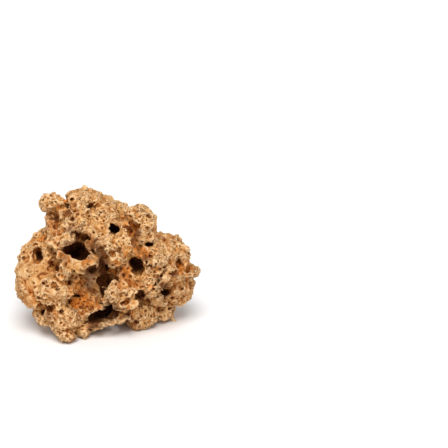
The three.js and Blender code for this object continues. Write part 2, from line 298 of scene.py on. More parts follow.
def take_ball(spot, outward, radius, rim, sink):
    """Raises a ring `rim` high round a spot, then takes out a ball whose middle lies `sink` radii below."""
    block, rough, (x, y, z) = block_round(spot - outward * radius * sink, radius * PIT_BLOCK + CELL)
    away = np.sqrt(x * x + y * y + z * z) + PIT_ROUGH * radius * rough
    block -= rim * np.exp(-(((away - RIM_AT * radius) / (RIM_WIDTH * radius)) ** 2))
    block[:] = soft_top(block, radius - away, PIT_EASE * radius)


# %% Taking out an oval finger that runs in along a direction
MOUTH_SHARE = 0.85
HALF_LENGTH, MIDDLE_AT = 0.62, 0.38
OVAL_BLOCK, OVAL_BLOCK_MM = 1.25, 3
OVAL_ROUGH_MM, OVAL_EASE_MM = 0.35, 0.8
OVAL_RIM_MM, OVAL_RIM_WIDTH_MM, OVAL_RIM_BEYOND_MM = 1.0, 0.9, 2


def take_oval(spot, inward, width, height, depth, turn, rim=0.0):
    """Takes out an oval, turned by an angle, with its long radius along `inward`, after raising its rim."""
    side = camera_right - inward * (camera_right @ inward)
    side /= np.linalg.norm(side)
    up = np.cross(side, inward)
    angle = math.radians(turn)
    side, up = side * math.cos(angle) + up * math.sin(angle), up * math.cos(angle) - side * math.sin(angle)
    radii = width / 2 / MOUTH_SHARE, height / 2 / MOUTH_SHARE, depth * HALF_LENGTH
    middle = spot + inward * depth * MIDDLE_AT
    block, rough, (x, y, z) = block_round(middle, max(radii) * OVAL_BLOCK + OVAL_BLOCK_MM)
    ways = [x * way[0] + y * way[1] + z * way[2] for way in (side, up, inward)]
    level = np.sqrt(sum((way / radius) ** 2 for way, radius in zip(ways, radii)))
    oval = (1 - level) * min(radii) - OVAL_ROUGH_MM * rough
    if rim:
        near = np.abs(ways[2]) < radii[2] + OVAL_RIM_BEYOND_MM
        block -= rim * np.exp(-(((oval + OVAL_RIM_MM) / OVAL_RIM_WIDTH_MM) ** 2)) * near
    block[:] = soft_top(block, oval, OVAL_EASE_MM)


print("a finger reaches", HALF_LENGTH + MIDDLE_AT, "of its depth in, from", MIDDLE_AT - HALF_LENGTH)

# %% [markdown]
# ## Smooth places
# Water has worn the left lobe, the wall of the bowl and the skin beside the great hollow nearly smooth.
# There both lumps and pits are thinned out. The back has smooth places like these, at random.

# %% Smooth places
# across, down and reach in picture spots, and how smooth
CALM = (
    (30, 284, 17, 1.0), (38, 270, 11, 1.0), (22, 265, 10, 0.8), (26, 300, 10, 0.8), (92, 279, 8, 1.2),
    (91, 286, 6, 1.0), (80, 282, 9, 0.9), (84, 296, 10, 0.6), (74, 265, 11, 1.0), (88, 262, 10, 1.0),
    (64, 256, 8, 0.7), (128, 232, 9, 0.6), (95, 228, 9, 0.6), (82, 238, 8, 0.9), (62, 256, 8, 0.6),
)
CALM_THINS = 0.85
BACK_FROM = 5.0
FAR_SPACING, FAR_SEED = 34.0, 51
FAR_REACH, FAR_SHARE = (6, 13), (0.5, 1)


def calm_in_front():
    """The smooth places in front, as the stone is by now: place, reach in millimetres, share."""
    return [(sight_spot(across, down), reach * PX_MM, share) for across, down, reach, share in CALM]


def calmness(spots):
    """The sum, at most 1, of share times exp(-(way to the place / reach) squared) over the smooth places."""
    calm = [share * np.exp(-((np.linalg.norm(spots - s, axis=1) / r) ** 2)) for s, r, share in calm_spots]
    return np.minimum(1, np.sum(calm, axis=0))


calm_spots = calm_in_front()
far_spots, _, rng = surface_spots(FAR_SPACING, FAR_SEED)
far_spots = far_spots[(far_spots + grid_low)[:, 1] > BACK_FROM]
calm_spots += [(spot, rng.uniform(*FAR_REACH), rng.uniform(*FAR_SHARE)) for spot in far_spots]
print("smooth places", len(CALM), "seen from the front,", len(far_spots), "at the back")

# %% Small lumps all over
LUMPS = (
    # spacing in mm, share of spots, smallest and largest radius in mm, sink in radii, seed
    (9.5, 0.7, 3.6, 5.8, 0.7, 41),
    (5.5, 0.35, 1.9, 2.9, 0.65, 42),
)
for spacing, share, smallest, largest, sink, seed in LUMPS:
    spots, outwards, rng = surface_spots(spacing, seed)
    chosen = rng.random(len(spots)) < share * (1 - CALM_THINS * calmness(spots))
    radii = rng.uniform(smallest, largest, len(spots))
    for spot, outward, radius in zip(spots[chosen], outwards[chosen], radii[chosen]):
        add_lump(spot, outward, radius, sink)
    print("lumps", int(chosen.sum()), "of radius", smallest, "to", largest)
print("lumpy, cubic cm:", inside_cm3())

# %% [markdown]
# ## The lip below the low cave
# A thin rounded lip runs from the second foot to the low lobe and closes the cave from below. It is a row of
# balls joined softly, all at one distance from the camera: the mean of the spots at the lip's two ends.

# %% The lip: across, down and radius in picture spots
LIP = np.array([
    (87, 325, 3.2), (98, 326.5, 3.0), (106, 326, 2.9), (114, 323, 3.0), (121, 319.5, 3.4), (128, 317, 3.8),
])
LIP_BALLS, LIP_SINK = 24, 0.8
LIP_ENDS = ((84, 321), (129, 315))
row = np.linspace(0, len(LIP) - 1, LIP_BALLS)
lip_row = np.stack([np.interp(row, np.arange(len(LIP)), column) for column in LIP.T], 1)
lip_steps = [first_wall(sight_line(across, down)[0]) for across, down in LIP_ENDS]
for across, down, radius in lip_row:
    line, inward = sight_line(across, down)
    add_lump(line[int(np.mean(lip_steps))], -inward, radius * PX_MM, LIP_SINK)
print("lip added, cubic cm:", inside_cm3())

# %% [markdown]
# ## Truing the outline
# Worn lumps and stubs decide the stone's outline. Where the rough form bulges too far, all that lies near a
# line of sight is taken off, from front to back; where it falls short, a round lump is joined on.


# %% Trimmed and filled places: across, down and radius, all in picture spots
TRIM_BLOCK_MM, TRIM_ROUGH_MM, TRIM_EASE_MM = 3, 0.6, 2.5
FILL_SINK = 0.9


def trim(across, down, radius):
    """Takes off all that lies within a radius of the line of sight through a spot of the picture."""
    line, inward = sight_line(across, down)
    line = line[np.all((line > 0) & (line < np.array(grid_shape) * CELL), axis=1)]
    first = np.maximum(((line.min(0) - radius - TRIM_BLOCK_MM) / CELL).astype(int), 0)
    last = np.minimum(((line.max(0) + radius + TRIM_BLOCK_MM) / CELL).astype(int), grid_shape)
    part = tuple(slice(a, b) for a, b in zip(first, last))
    start = line[0]
    x, y, z = np.ix_(*[np.arange(a, b, dtype=np.float32) * CELL - m for a, b, m in zip(first, last, start)])
    along = x * inward[0] + y * inward[1] + z * inward[2]
    away = np.sqrt(np.maximum(x * x + y * y + z * z - along * along, 0))
    field[part] = soft_top(field[part], radius - away + TRIM_ROUGH_MM * wobble[part], TRIM_EASE_MM)


TRIMS = {
    "left_shoulder": (21, 232, 12.5),
    "below_knob": (38.5, 222.5, 7.5),
    "left_lobe_top": (6, 263, 12),
    "right_top_lobe": (170, 218, 13.5),
    "right_top_lobe_corner": (163, 203, 14),
    "behind_right_lobe": (166, 224, 9.5),
    "low_right_lobe": (181, 315, 8.5),
    "lip_left": (98, 340, 11),
    "lip_middle": (110, 337, 10.5),
    "lip_right": (117, 334, 9.5),
    "front_foot_left": (50, 343, 9.5),
    "front_foot_right": (79, 346, 8),
    "front_foot_tip": (66, 353, 10.5),
    "spur_below": (200, 283, 8.5),
    "spur_above": (199, 258, 9),
}
FILLS = {
    "knob_top": (49.5, 199.5, 7.0),
    "knob_side": (46, 204, 6.0),
    "low_left_edge": (38, 313, 6.5),
    "low_left_bottom": (45, 320, 6.0),
    "spur_tip": (197.5, 270.5, 3.5),
    "right_lobe_edge": (190.5, 283, 5.2),
    "left_shoulder_edge": (26, 252, 5.5),
    "shoulder_top": (176, 240, 6.0),
    "shoulder_left": (165, 240, 5.0),
    "shoulder_right": (183, 249, 5.5),
    "low_lobe_front": (143, 309, 6.5),
    "low_lobe_left": (134, 312, 5.0),
    "low_lobe_right": (151, 318, 5.0),
}
for across, down, radius in TRIMS.values():
    trim(across, down, radius * PX_MM)
for across, down, radius in FILLS.values():
    line, inward = sight_line(across, down)
    add_lump(line[first_wall(line)], -inward, radius * PX_MM, FILL_SINK)
print("trimmed", len(TRIMS), "filled", len(FILLS), "cubic cm:", inside_cm3())

# %% [markdown]
# ## Named hollows
# The imported model has the large hollows. Their mouths are opened again here, because the blur and the
# lumps narrow them, and the smaller holes and slits that can be told apart are added. Each mouth is kept,
# for the painted shade inside.

# %% Dark hollows and small holes
HOLLOWS = {
    # across, down, width and height in picture spots, depth in mm, turn in degrees
    "great_hollow_left": (69, 249.5, 11, 9, 24, -15),
    "great_hollow_middle": (76, 251, 14, 17, 30, -20),
    "great_hollow_right": (82, 252.5, 13, 13, 30, -20),
    "hood": (82, 238.5, 14, 11, 6, 10),
    "throat_top": (101.5, 263, 4.5, 10, 10, 0),
    "lip_crevice": (128, 316, 3.2, 12, 6, -10),
    "bowl_throat": (104, 280, 14, 13, 9.5, 20),
    "bowl_chimney": (102, 262, 5, 10, 20, -10),
    "bowl_arch": (91.5, 268.5, 12, 5.5, 14, 20),
    "gap_beside_lump": (103.5, 291, 6, 11, 13, 10),
    "gap_below_lump": (112, 306, 10, 5, 13, -15),
    "slanted_hole": (134.5, 264, 7.5, 14, 22, 25),
    "upper_hole": (112.5, 227, 6.5, 9, 20, -10),
    "upper_hole_right": (116.5, 230, 8, 7.5, 17, 0),
    "eye_hole": (149.3, 244.5, 7.5, 5, 13, -5),
    "low_cave_left_end": (92.5, 317, 12, 6, 16, 0),
    "low_cave_middle": (104, 313.5, 18, 10, 22, 20),
    "low_cave_right_end": (117, 309, 13, 5.5, 16, 25),
    "dark_hole": (140, 295, 9, 10, 20, 20),
    "right_hole": (163.5, 293, 6, 7, 13, 20),
    "right_hole_side": (166, 291, 9, 9, 7, 20),
    "left_hole": (39.5, 256, 6, 10.5, 13, 22),
    "low_left_hole": (44.5, 312.5, 5.5, 5, 11, 0),
    "column_crevice": (57, 219.5, 5, 9, 9, 15),
    "knot_hole": (68.5, 208, 4.5, 8, 8, 0),
    "left_recess_hole": (59.5, 269.5, 6, 6, 7, 0),
    "top_slit_left": (88, 207, 6, 3, 8, 15),
    "top_slit_right": (94, 205.5, 8, 2.8, 8, 5),
    "high_slit": (99.6, 215, 6.5, 2.5, 6, 55),
    "rim_hole": (118, 252, 5, 4.5, 8, 0),
    "side_chimney": (107.5, 267.5, 4.5, 6, 8, 0),
    "under_rim": (117, 268, 8, 4.5, 8, 10),
    "right_slit": (178, 260.5, 7, 3.5, 7, 10),
    "crevice_top": (161.5, 275.5, 3, 5.5, 8, -25),
    "crevice_middle": (159, 280.5, 3, 3, 7, -25),
    "crevice_low": (155.5, 284, 3, 3, 7, -25),
    "lobe_dot": (43.5, 283, 3.5, 2.5, 5, 0),
    "ridge_dot": (73.5, 270.5, 3, 2.5, 5, 0),
    "ridge_corner": (69.5, 283, 6, 4.5, 7, -20),
    "ridge_hole": (93, 269.5, 6, 3.5, 7, 20),
    "apron_hole": (77.5, 295.5, 8, 4, 9, 5),
    "apron_side": (69.7, 300.5, 4, 5.5, 8, 15),
    "apron_low": (74.7, 309, 4, 5, 7, 30),
    "leg_dot": (61.5, 312, 3.5, 4, 5, 0),
    "cave_corner": (127.5, 321, 5, 9, 10, 20),
    "foot_recess": (138.5, 320.5, 6, 4, 4, -20),
    "far_right_dot": (170, 308.5, 5, 3, 5, 0),
    "high_dot": (73, 219.2, 3.2, 3.2, 6, 0),
    "second_high_dot": (84.6, 222.7, 3, 3, 5, 0),
    "third_high_dot": (114.6, 209.6, 3, 2.5, 4, 0),
    "shoulder_dot": (53, 248, 2.8, 2.8, 5, 0),
    "spur_dot": (193.5, 263.5, 3, 2.5, 5, 0),
    "right_lobe_dot": (187.3, 279, 3, 2.5, 5, 0),
    "valley_dot": (130.5, 285.7, 3, 2.5, 5, 0),
    "beside_slanted_hole": (146.5, 262.5, 4.5, 4, 6, 0),
    "beside_slanted_hole_low": (153, 265.5, 3, 2.8, 5, 0),
    "beside_slanted_hole_high": (150.5, 260, 3, 2.5, 5, 0),
    "beside_slanted_hole_left": (143, 266.5, 3, 3, 5, 0),
    "beside_slanted_hole_right": (157, 262.5, 3, 2.5, 5, 0),
    "hollow_corner_slit": (94.5, 250, 6, 3, 8, -25),
    "crevice_below_ring": (104, 256.5, 4, 5, 8, -20),
}
hollow_mouths = []
for across, down, width, height, depth, turn in HOLLOWS.values():
    spot, inward = mouth_spot(across, down, width, height)
    take_oval(spot, inward, width * PX_MM, height * PX_MM, depth, turn)
    hollow_mouths.append((spot, inward, max(width, height) * PX_MM / 2, depth))
print("hollows opened", len(HOLLOWS), "cubic cm:", inside_cm3())

# %% [markdown]
# ## Edges of the largest hollows
# The great hollow, its hood, the bowl and the low cave have edges with corners and steps, which ovals don't
# give. So more ovals are cut and balls joined there. A line of sight through a hollow meets only its far
# wall, so each of them starts as far off as the spot that is given beside it.

# %% Edges cut back and filled
EDGE_CUTS = {
    # the hollow's six numbers, then the spot whose depth it starts at
    "great_hollow_sill": (77, 254, 15, 11, 20, -25, (76, 266)),
    "cave_floor": (97, 319.5, 19, 9, 18, 0, (100, 328)),
    "cave_floor_right": (112, 316, 14, 6, 16, 22, (112, 324)),
}
EDGE_FILLS = {
    # across, down, radius, then the spot beside it, and how many mm behind that spot
    "great_hollow_left_low": (66, 259, 4.0, (76, 266), 1.5),
    "great_hollow_left": (60, 255, 4.0, (76, 266), 4),
    "great_hollow_left_high": (64, 242.5, 4.0, (76, 266), 0),
    "great_hollow_right": (88.5, 244, 3.5, (76, 266), 0),
    "great_hollow_low_right": (90.5, 258.5, 4.0, (76, 266), 0),
    "great_hollow_right_edge": (88, 246.5, 3.0, (76, 266), 1),
    "hood_top": (85, 227.5, 4.5, (92, 222), 1),
    "hood_top_right": (90.5, 230.5, 5.0, (95, 232), 1),
    "hood_top_middle": (86, 229.5, 4.5, (95, 232), 2),
    "hood_top_left": (79, 227.5, 4.0, (76, 222), 1),
    "cave_brow_left": (89, 311, 3.8, (84, 312), 0),
    "cave_brow": (95, 309.5, 3.9, (84, 312), 0),
    "cave_brow_right": (101, 307, 3.6, (84, 312), 0),
    "lobe_recess_top": (137, 220, 4.0, (147, 224), 0),
    "lump_top": (114, 284.5, 4.0, (120, 292), 0),
    "low_lobe_belly": (149, 317, 8.5, (149, 317), 1),
    "low_lobe_cheek": (162, 314, 7.0, (162, 314), 1),
    "second_foot_front": (82, 327, 5.0, (82, 327), 1),
    "bowl_wall_high": (75, 279, 5.0, (76, 266), 20),
    "bowl_wall": (76, 286, 5.5, (76, 266), 22),
    "bowl_wall_inner": (81, 281, 5.0, (76, 266), 28),
    "bowl_wall_low": (82, 289, 6.0, (76, 266), 28),
}
for across, down, width, height, depth, turn, beside in EDGE_CUTS.values():
    line, inward = sight_line(across, down)
    take_oval(line[first_wall(sight_line(*beside)[0])], inward, width * PX_MM, height * PX_MM, depth, turn)
for across, down, radius, beside, behind_mm in EDGE_FILLS.values():
    line, inward = sight_line(across, down)
    place = line[first_wall(sight_line(*beside)[0])] + behind_mm * inward
    add_lump(place, -inward, radius * PX_MM, FILL_SINK)
print("edges cut", len(EDGE_CUTS), "filled", len(EDGE_FILLS), "cubic cm:", inside_cm3())

# %% [markdown]
# ## Recesses and craters
# Between the dark holes lie shallow dishes. Some have a raised rim, where a harder crust round an old pore
# has stayed. They are short ovals, like the hollows.

# %% Shallow recesses, and craters with a raised rim
RECESSES = {
    # across, down, width and height in picture spots, depth in mm, turn in degrees, the rim's height in mm
    "low_left_recess": (49.5, 307.5, 10, 11, 5, 20, 0.3),
    "left_recess": (58, 269, 9, 9, 4, 0, 0.2),
    "left_recess_high": (52, 264, 5, 7, 4, 0, 0.2),
    "lobe_recess": (135, 231, 14, 11, 5, 0, 0.2),
    "lobe_top_recess": (136.5, 209, 9, 7, 3, 0, 0.4),
    "swirl_recess": (150.4, 218, 8, 9, 3, 0, 0.7),
    "cheek_recess": (147, 264, 7, 6, 3, 0, 0.3),
    "dark_hole_side": (147, 300, 7, 8, 4, 0, 0.3),
    "crater": (58.5, 290, 12, 7, 3.5, -10, 1.0),
    "centre_crater": (124, 302, 10, 7, 4, 0, 1.2),
    "ring_lump": (114, 252.5, 6, 6, 1.5, 0, 0.9),
    "low_ring": (103, 247, 6, 6, 2.5, 0, 0.8),
    "high_recess": (103, 238, 8, 7, 2.5, 0, 0.3),
    "brow_recess": (131, 242, 10, 6, 3, 10, 0.3),
    "hood_side": (70, 231, 9, 7, 3, 0, 0.2),
    "notch_below_shoulder": (173, 274, 9, 8, 6, 0, 0.0),
    "ridge_left": (63, 261, 8, 12, 3.5, 20, 0.2),
    "bowl_floor": (89, 283, 15, 15, 6, 0, 0.0),
    "apron_ripple": (88, 301, 10, 3, 1.5, 15, 0.3),
    "apron_ripple_low": (84, 308, 9, 3, 1.5, 10, 0.3),
    "apron_ripple_high": (92, 294, 9, 3, 1.5, 20, 0.2),
}
for across, down, width, height, depth, turn, rim in RECESSES.values():
    spot, inward = mouth_spot(across, down, width, height)
    take_oval(spot, inward, width * PX_MM, height * PX_MM, depth, turn, rim)
print("recesses", len(RECESSES), "cubic cm:", inside_cm3())

# %% [markdown]
# ## Valleys
# Grooves run between the large lumps, and water has carried rust along them. Each is a row of balls taken
# out where the lines of sight along its path meet the stone.

# %% Valleys between lumps
VALLEYS = {
    # radius in picture spots, then places in the picture
    "right_of_bowl": (3.6, (99, 248), (105, 256), (112, 265), (121, 271), (128, 278), (132, 285)),
    "left_of_apron": (2.8, (61, 275), (66, 282), (70, 288), (71, 297)),
    "left_chain": (2.6, (50, 262), (54, 266), (60, 271)),
    "below_shoulder": (3.2, (166, 271), (172, 274), (180, 271), (188, 270)),
    "between_lumps": (2.2, (162, 273), (159, 281), (154, 286), (148, 289)),
    "beside_lip": (2.2, (128, 307), (131, 312), (132, 319), (131, 326)),
    "low_groove": (2.2, (147, 299), (150, 304), (155, 307)),
    "lobe_border": (2.8, (121, 214), (125, 221), (128, 230), (134, 236), (144, 238), (155, 236)),
    "crest_border": (2.2, (62, 199), (66, 207), (65, 214), (62, 220)),
    "plateau_wrinkle": (1.8, (97, 205), (101, 211), (97, 219)),
    "second_wrinkle": (1.8, (106, 203), (112, 207), (119, 211)),
    "shoulder_fold": (2.0, (38, 240), (46, 239), (54, 241)),
    "low_left_groove": (2.6, (40, 305), (46, 306), (53, 310), (57, 317)),
    "right_lobe_groove": (2.4, (160, 300), (168, 301), (176, 299), (186, 296)),
}
VALLEY_STEP = 1.8
VALLEY_SINK = -0.3


def valley_spots(places):
    """Spots an even step apart along a valley's path, each where its sight line meets the stone."""
    corners = np.array(places, float)
    at = np.concatenate([[0], np.cumsum(np.linalg.norm(np.diff(corners, axis=0), axis=1))])
    steps = np.linspace(0, at[-1], int(at[-1] / VALLEY_STEP) + 2)
    lines = [sight_line(*[np.interp(step, at, corners[:, k]) for k in (0, 1)])[0] for step in steps]
    return np.array([line[first_wall(line)] for line in lines if first_wall(line)])


valleys = {name: (radius * PX_MM, valley_spots(places)) for name, (radius, *places) in VALLEYS.items()}
for radius, spots in valleys.values():
    for spot, outward in zip(spots, outward_at(spots)):
        take_ball(spot, outward, radius, 0.0, VALLEY_SINK)
print("valleys", len(VALLEYS), "cubic cm:", inside_cm3())

# %% [markdown]
# ## Worm-like furrows
# Between its pits the stone's skin has shallow winding furrows. The places where a smooth random number
# crosses zero are winding curves, so a groove is cut where that number is near zero. The back, where no
# valley is named, gets deeper and wider-set ones of the same kind.


# %% Furrows
def winding_lines(spacing, breadth, seed):
    """exp(-(smooth random number / breadth) squared): 1 along winding curves, 0 away from them."""
    return np.exp(-((stretched_noise(spacing, seed) / breadth) ** 2))


# spacing and depth in mm, breadth, seed
FURROWS = ((6.5, 0.5, 0.30, 21), (3.4, 0.3, 0.30, 22))
BACK_FURROWS = (17.0, 1.5, 0.14, 23)
BACK_FADE = 15
for spacing, depth, breadth, seed in FURROWS:
    field += depth * winding_lines(spacing, breadth, seed)
spacing, depth, breadth, seed = BACK_FURROWS
behind = np.clip((np.arange(grid_shape[1]) * CELL + grid_low[1] - BACK_FROM) / BACK_FADE, 0, 1)
back_lines = winding_lines(spacing, breadth, seed) * behind[None, :, None]
field += (depth * back_lines).astype(np.float32)
print("furrowed, cubic cm:", inside_cm3())

# %% [markdown]
# ## Pits with raised rims
# The stone is riddled with round pits, most of them 2 to 4 mm wide, whose rims stand a little proud.
# Each pit is a ball taken out of the field, after a ring round it is raised. The smooth places are looked up
# again first, because the hollows have moved the skin there. The smallest pores are too small for the mesh
# and are left to the material.

# %% Carve the pits, wide ones first
SMALL_BIAS = 1.6
PITS = (
    # spacing in mm, share of spots, smallest and largest radius in mm, rim and sink in radii, seed
    (13.0, 0.5, 2.8, 4.4, 0.08, -0.45, 30),
    (8.0, 0.5, 1.6, 2.8, 0.14, -0.35, 31),
    (4.6, 0.6, 1.0, 1.6, 0.24, -0.1, 32),
    (3.4, 0.38, 0.8, 1.0, 0.27, 0.1, 33),
)
calm_spots[: len(CALM)] = calm_in_front()
for spacing, share, smallest, largest, rim, sink, seed in PITS:
    spots, outwards, rng = surface_spots(spacing, seed)
    chosen = rng.random(len(spots)) < share * (1 - CALM_THINS * calmness(spots))
    radii = smallest + (largest - smallest) * rng.random(len(spots)) ** SMALL_BIAS
    for spot, outward, radius in zip(spots[chosen], outwards[chosen], radii[chosen]):
        take_ball(spot, outward, radius, rim * radius, sink)
    print("pits", int(chosen.sum()), "of radius", smallest, "to", largest)
print("pitted, cubic cm:", inside_cm3())

# %% [markdown]
# ## Flat feet
# The stone stands on small flats worn under its feet, so all that would reach below the ground is cut off.

# %% Cut at the ground
ground = (np.arange(grid_shape[2]) * CELL + grid_low[2]).astype(np.float32)
field = np.maximum(field, -ground[None, None, :])
field = np.clip(field, -BAND_CELLS * CELL, BAND_CELLS * CELL)

# %% [markdown]
# ## A new skin
# Marching through the grid gives a quadrilateral wherever the field crosses zero, facing outwards. Loose
# crumbs are dropped, and the skin is thinned to under 200,000 triangles, which still leaves several on each
# small pit.


# %% Draw the skin
def skin_arrays():
    """The zero surface of the field as places in millimetres and four-cornered faces."""
    out = vdb.FloatGrid(BAND_CELLS * CELL)
    out.copyFromArray(field)
    out.transform = vdb.createLinearTransform(voxelSize=CELL)
    points, quads = out.convertToQuads(isovalue=0.0)
    return points + grid_low, quads


def largest_lump(points, quads):
    """Keeps the faces joined to the most corners, by passing the lowest number along the edges."""
    edges = np.concatenate([quads[:, [k, (k + 1) % 4]] for k in range(4)])
    label = np.arange(len(points))
    while True:
        low_label = np.minimum(label[edges[:, 0]], label[edges[:, 1]])
        new = label.copy()
        np.minimum.at(new, edges[:, 0], low_label)
        np.minimum.at(new, edges[:, 1], low_label)
        new = new[new]
        if (new == label).all():
            break
        label = new
    keep = np.bincount(label).argmax()
    kept_quads = quads[label[quads[:, 0]] == keep]
    used, renumbered = np.unique(kept_quads, return_inverse=True)
    return points[used], renumbered.reshape(-1, 4)


points, quads = skin_arrays()
points, quads = largest_lump(points, quads)
skin_mesh = bpy.data.meshes.new("pitted_skin")
skin_mesh.from_pydata(points / MM, [], quads)
print("skin corners", len(points), "faces", len(quads))

# %% Thin it
MOST_TRIANGLES = 196000
skin = bpy.data.objects.new("pitted_skin", skin_mesh)
bpy.context.scene.collection.objects.link(skin)
thin = skin.modifiers.new("thin", "DECIMATE")
thin.ratio = min(1.0, MOST_TRIANGLES / (2 * len(quads)))
shape = skin.evaluated_get(bpy.context.evaluated_depsgraph_get())
thinned = bpy.data.meshes.new_from_object(shape)
skin.modifiers.clear()
skin.data = thinned
bpy.data.meshes.remove(skin_mesh)
thinned.name = "pitted_skin"
thinned.polygons.foreach_set("use_smooth", np.ones(len(thinned.polygons), bool))
print("thinned to", len(thinned.polygons), "triangles")

# %% [markdown]
# ## How open each spot lies
# Rims and knobs are painted paler, as painted highlight, pits and hollows darker and browner, as painted
# shade, and creases rustier, partly as rust and partly as painted shade. The share of solid round a spot
# tells them apart: half on a flat, less on a rim or knob, more in a pit or hollow. It is measured over three
# widths and kept at each corner.


# %% Share of solid at each corner
def sampled(values, places_mm, cell):
    """The grid's value at each place, mixed from the eight cells round it."""
    at = np.clip((places_mm - grid_low) / cell, 0, np.array(values.shape) - 1.001)
    first = at.astype(int)
    part = at - first
    total = 0
    for corner in np.ndindex(2, 2, 2):
        weight = np.prod(np.where(corner, part, 1 - part), axis=1)
        total = total + weight * values[tuple((first + corner).T)]
    return total


def keep_attribute(name, values):
    """Stores one number for each corner of the skin, for the material to read."""
    attribute = thinned.attributes.new(name, "FLOAT", "POINT")
    attribute.data.foreach_set("value", values.astype(np.float32))
    print(name, np.round(np.percentile(values, (2, 25, 50, 75, 98)), 2))


corner_places = np.empty(len(thinned.vertices) * 3, np.float32)
thinned.vertices.foreach_get("co", corner_places)
corner_places = corner_places.reshape(-1, 3) * MM
corner_ways = np.empty(len(thinned.vertices) * 3, np.float32)
thinned.vertex_normals.foreach_get("vector", corner_ways)
corner_ways = corner_ways.reshape(-1, 3)
solid_share = np.clip(0.5 - field / (2 * CELL), 0, 1)
FINE, MIDDLE, WIDE = 1.0, 2.6, 7.0
COARSE_STEP = 3
COARSE_CELL = CELL * COARSE_STEP
coarse = solid_share[::COARSE_STEP, ::COARSE_STEP, ::COARSE_STEP]
# These shares drive painted highlight on rims and knobs and painted shade in pits, creases and valleys.
keep_attribute("fine_share", sampled(blurred(solid_share, FINE / CELL), corner_places, CELL))
keep_attribute("middle_share", sampled(blurred(coarse, MIDDLE / COARSE_CELL), corner_places, COARSE_CELL))
keep_attribute("wide_share", sampled(blurred(coarse, WIDE / COARSE_CELL), corner_places, COARSE_CELL))

# %% [markdown]
# ## How hidden each spot is
# Hollows are painted darker where the least light gets in, as painted shade. From every cell, 26 ways are
# looked along, and the share of them that meet stone within 25 mm says how hidden the cell is. Each corner
# takes the number that lies 1.6 mm under the skin.

# %% Share of ways that are shut
LOOK = 25.0
LOOK_UNDER = 1.6
SOLID = 0.5
solid_cells = coarse > SOLID
ways = [np.array(step) - 1 for step in np.ndindex(3, 3, 3) if step != (1, 1, 1)]
shut = np.zeros(solid_cells.shape, np.float32)
for way in ways:
    seen, moved = np.zeros_like(solid_cells), solid_cells
    for _ in range(int(LOOK / COARSE_CELL / np.linalg.norm(way))):
        moved = np.roll(moved, tuple(way), axis=(0, 1, 2))
        seen |= moved
    shut += seen / len(ways)
# This share drives painted shade: the brown layer and the darker, redder tint in hidden places.
keep_attribute("hidden", sampled(shut, corner_places - LOOK_UNDER * corner_ways, COARSE_CELL))

# %% Painted shade inside the deep hollows: 0 at the mouth, 1 a few millimetres in, within the hollow's width
DEEP = 10.0
HOLLOW_SHADE_FROM, HOLLOW_SHADE_OVER = 1.0, 5.0
HOLLOW_SHADE_EDGE, HOLLOW_SHADE_FADE = 2.5, 1.7
# Painted shade: the deep hollows are painted near black a few millimetres past their mouths.
hollow_shade = np.zeros(len(corner_places))
for spot, inward, reach, depth in hollow_mouths:
    if depth > DEEP:
        way = corner_places - grid_low - spot
        along = way @ inward
        aside = np.linalg.norm(way - along[:, None] * inward, axis=1)
        within = np.clip(HOLLOW_SHADE_EDGE - HOLLOW_SHADE_FADE * aside / reach, 0, 1)
        hollow_shade = np.maximum(hollow_shade, np.clip((along - HOLLOW_SHADE_FROM) / HOLLOW_SHADE_OVER, 0, 1) * within)
keep_attribute("hollow_shade", hollow_shade)

# %% [markdown]
# ## Stains, painted light and painted shade
# Rust has run from some hollows. Brown lies in the creases and recesses, under ledges and on the cave floor,
# partly as brown stain and partly as painted shade. A few walls are greyer than the rest, and some are
# paler, partly worn and partly painted light where they face away from the lamp. Each stain is a soft ball
# of colour round a place looked up along its line of sight: as strong as its last number at the middle,
# fading out by a bell curve.

# %% Soft balls of colour: across, down and reach in picture spots, strength
RUST_PLACES = (
    (84, 299, 10, 1.0), (76, 304, 8, 1.0), (95, 300, 8, 1.0), (88, 307, 7, 1.0), (73, 292, 7, 1.0),
    (77, 277, 8, 1.0), (79, 286, 8, 1.0), (84, 292, 7, 1.0), (101, 299, 6, 0.8), (98, 306, 5, 0.9),
    (124, 272, 9, 1.0), (131, 281, 7, 0.5), (117, 264, 7, 1.0), (107, 256, 6, 0.8), (115, 273, 8, 1.0),
    (55, 223, 8, 0.9), (49, 219, 6, 0.8), (60, 208, 6, 0.6), (68, 212, 7, 1.0), (58, 231, 8, 0.8),
    (88, 243, 8, 0.8), (93, 247, 8, 0.9), (92, 236, 7, 0.7), (66, 230, 6, 0.6), (66, 200, 6, 0.8),
    (134, 229, 9, 1.0), (128, 222, 7, 0.6), (136, 209, 6, 0.8), (150, 218, 5, 0.6), (134, 243, 9, 0.8),
    (141, 250, 9, 0.8), (145, 255, 7, 0.9), (148, 262, 8, 1.0), (155, 267, 7, 0.9), (150, 249, 6, 0.3),
    (152, 286, 7, 0.7), (162, 283, 6, 0.8), (166, 300, 7, 0.7), (140, 300, 7, 0.5), (148, 299, 6, 0.6),
    (50, 240, 7, 0.3), (63, 253, 5, 0.9), (62, 275, 7, 0.8), (56, 262, 6, 0.4), (52, 310, 7, 0.6),
    (182, 269, 8, 0.9), (172, 274, 6, 0.9), (176, 290, 8, 0.5), (189, 266, 8, 0.9), (132, 325, 6, 0.6),
    (65, 257, 6, 1.0), (50, 225, 7, 1.0), (176, 262, 6, 0.6), (186, 292, 7, 0.5), (125, 312, 6, 0.6),
    (102, 240, 6, 0.5), (110, 236, 5, 0.4), (81, 281, 7, 1.0), (75, 284, 6, 1.0), (97, 266, 5, 0.6),
    (88, 260, 7, 0.8), (122, 277, 9, 0.8), (128, 268, 6, 0.8), (127, 254, 7, 0.7), (68, 262, 6, 0.6),
    (59, 255, 6, 0.8),
)
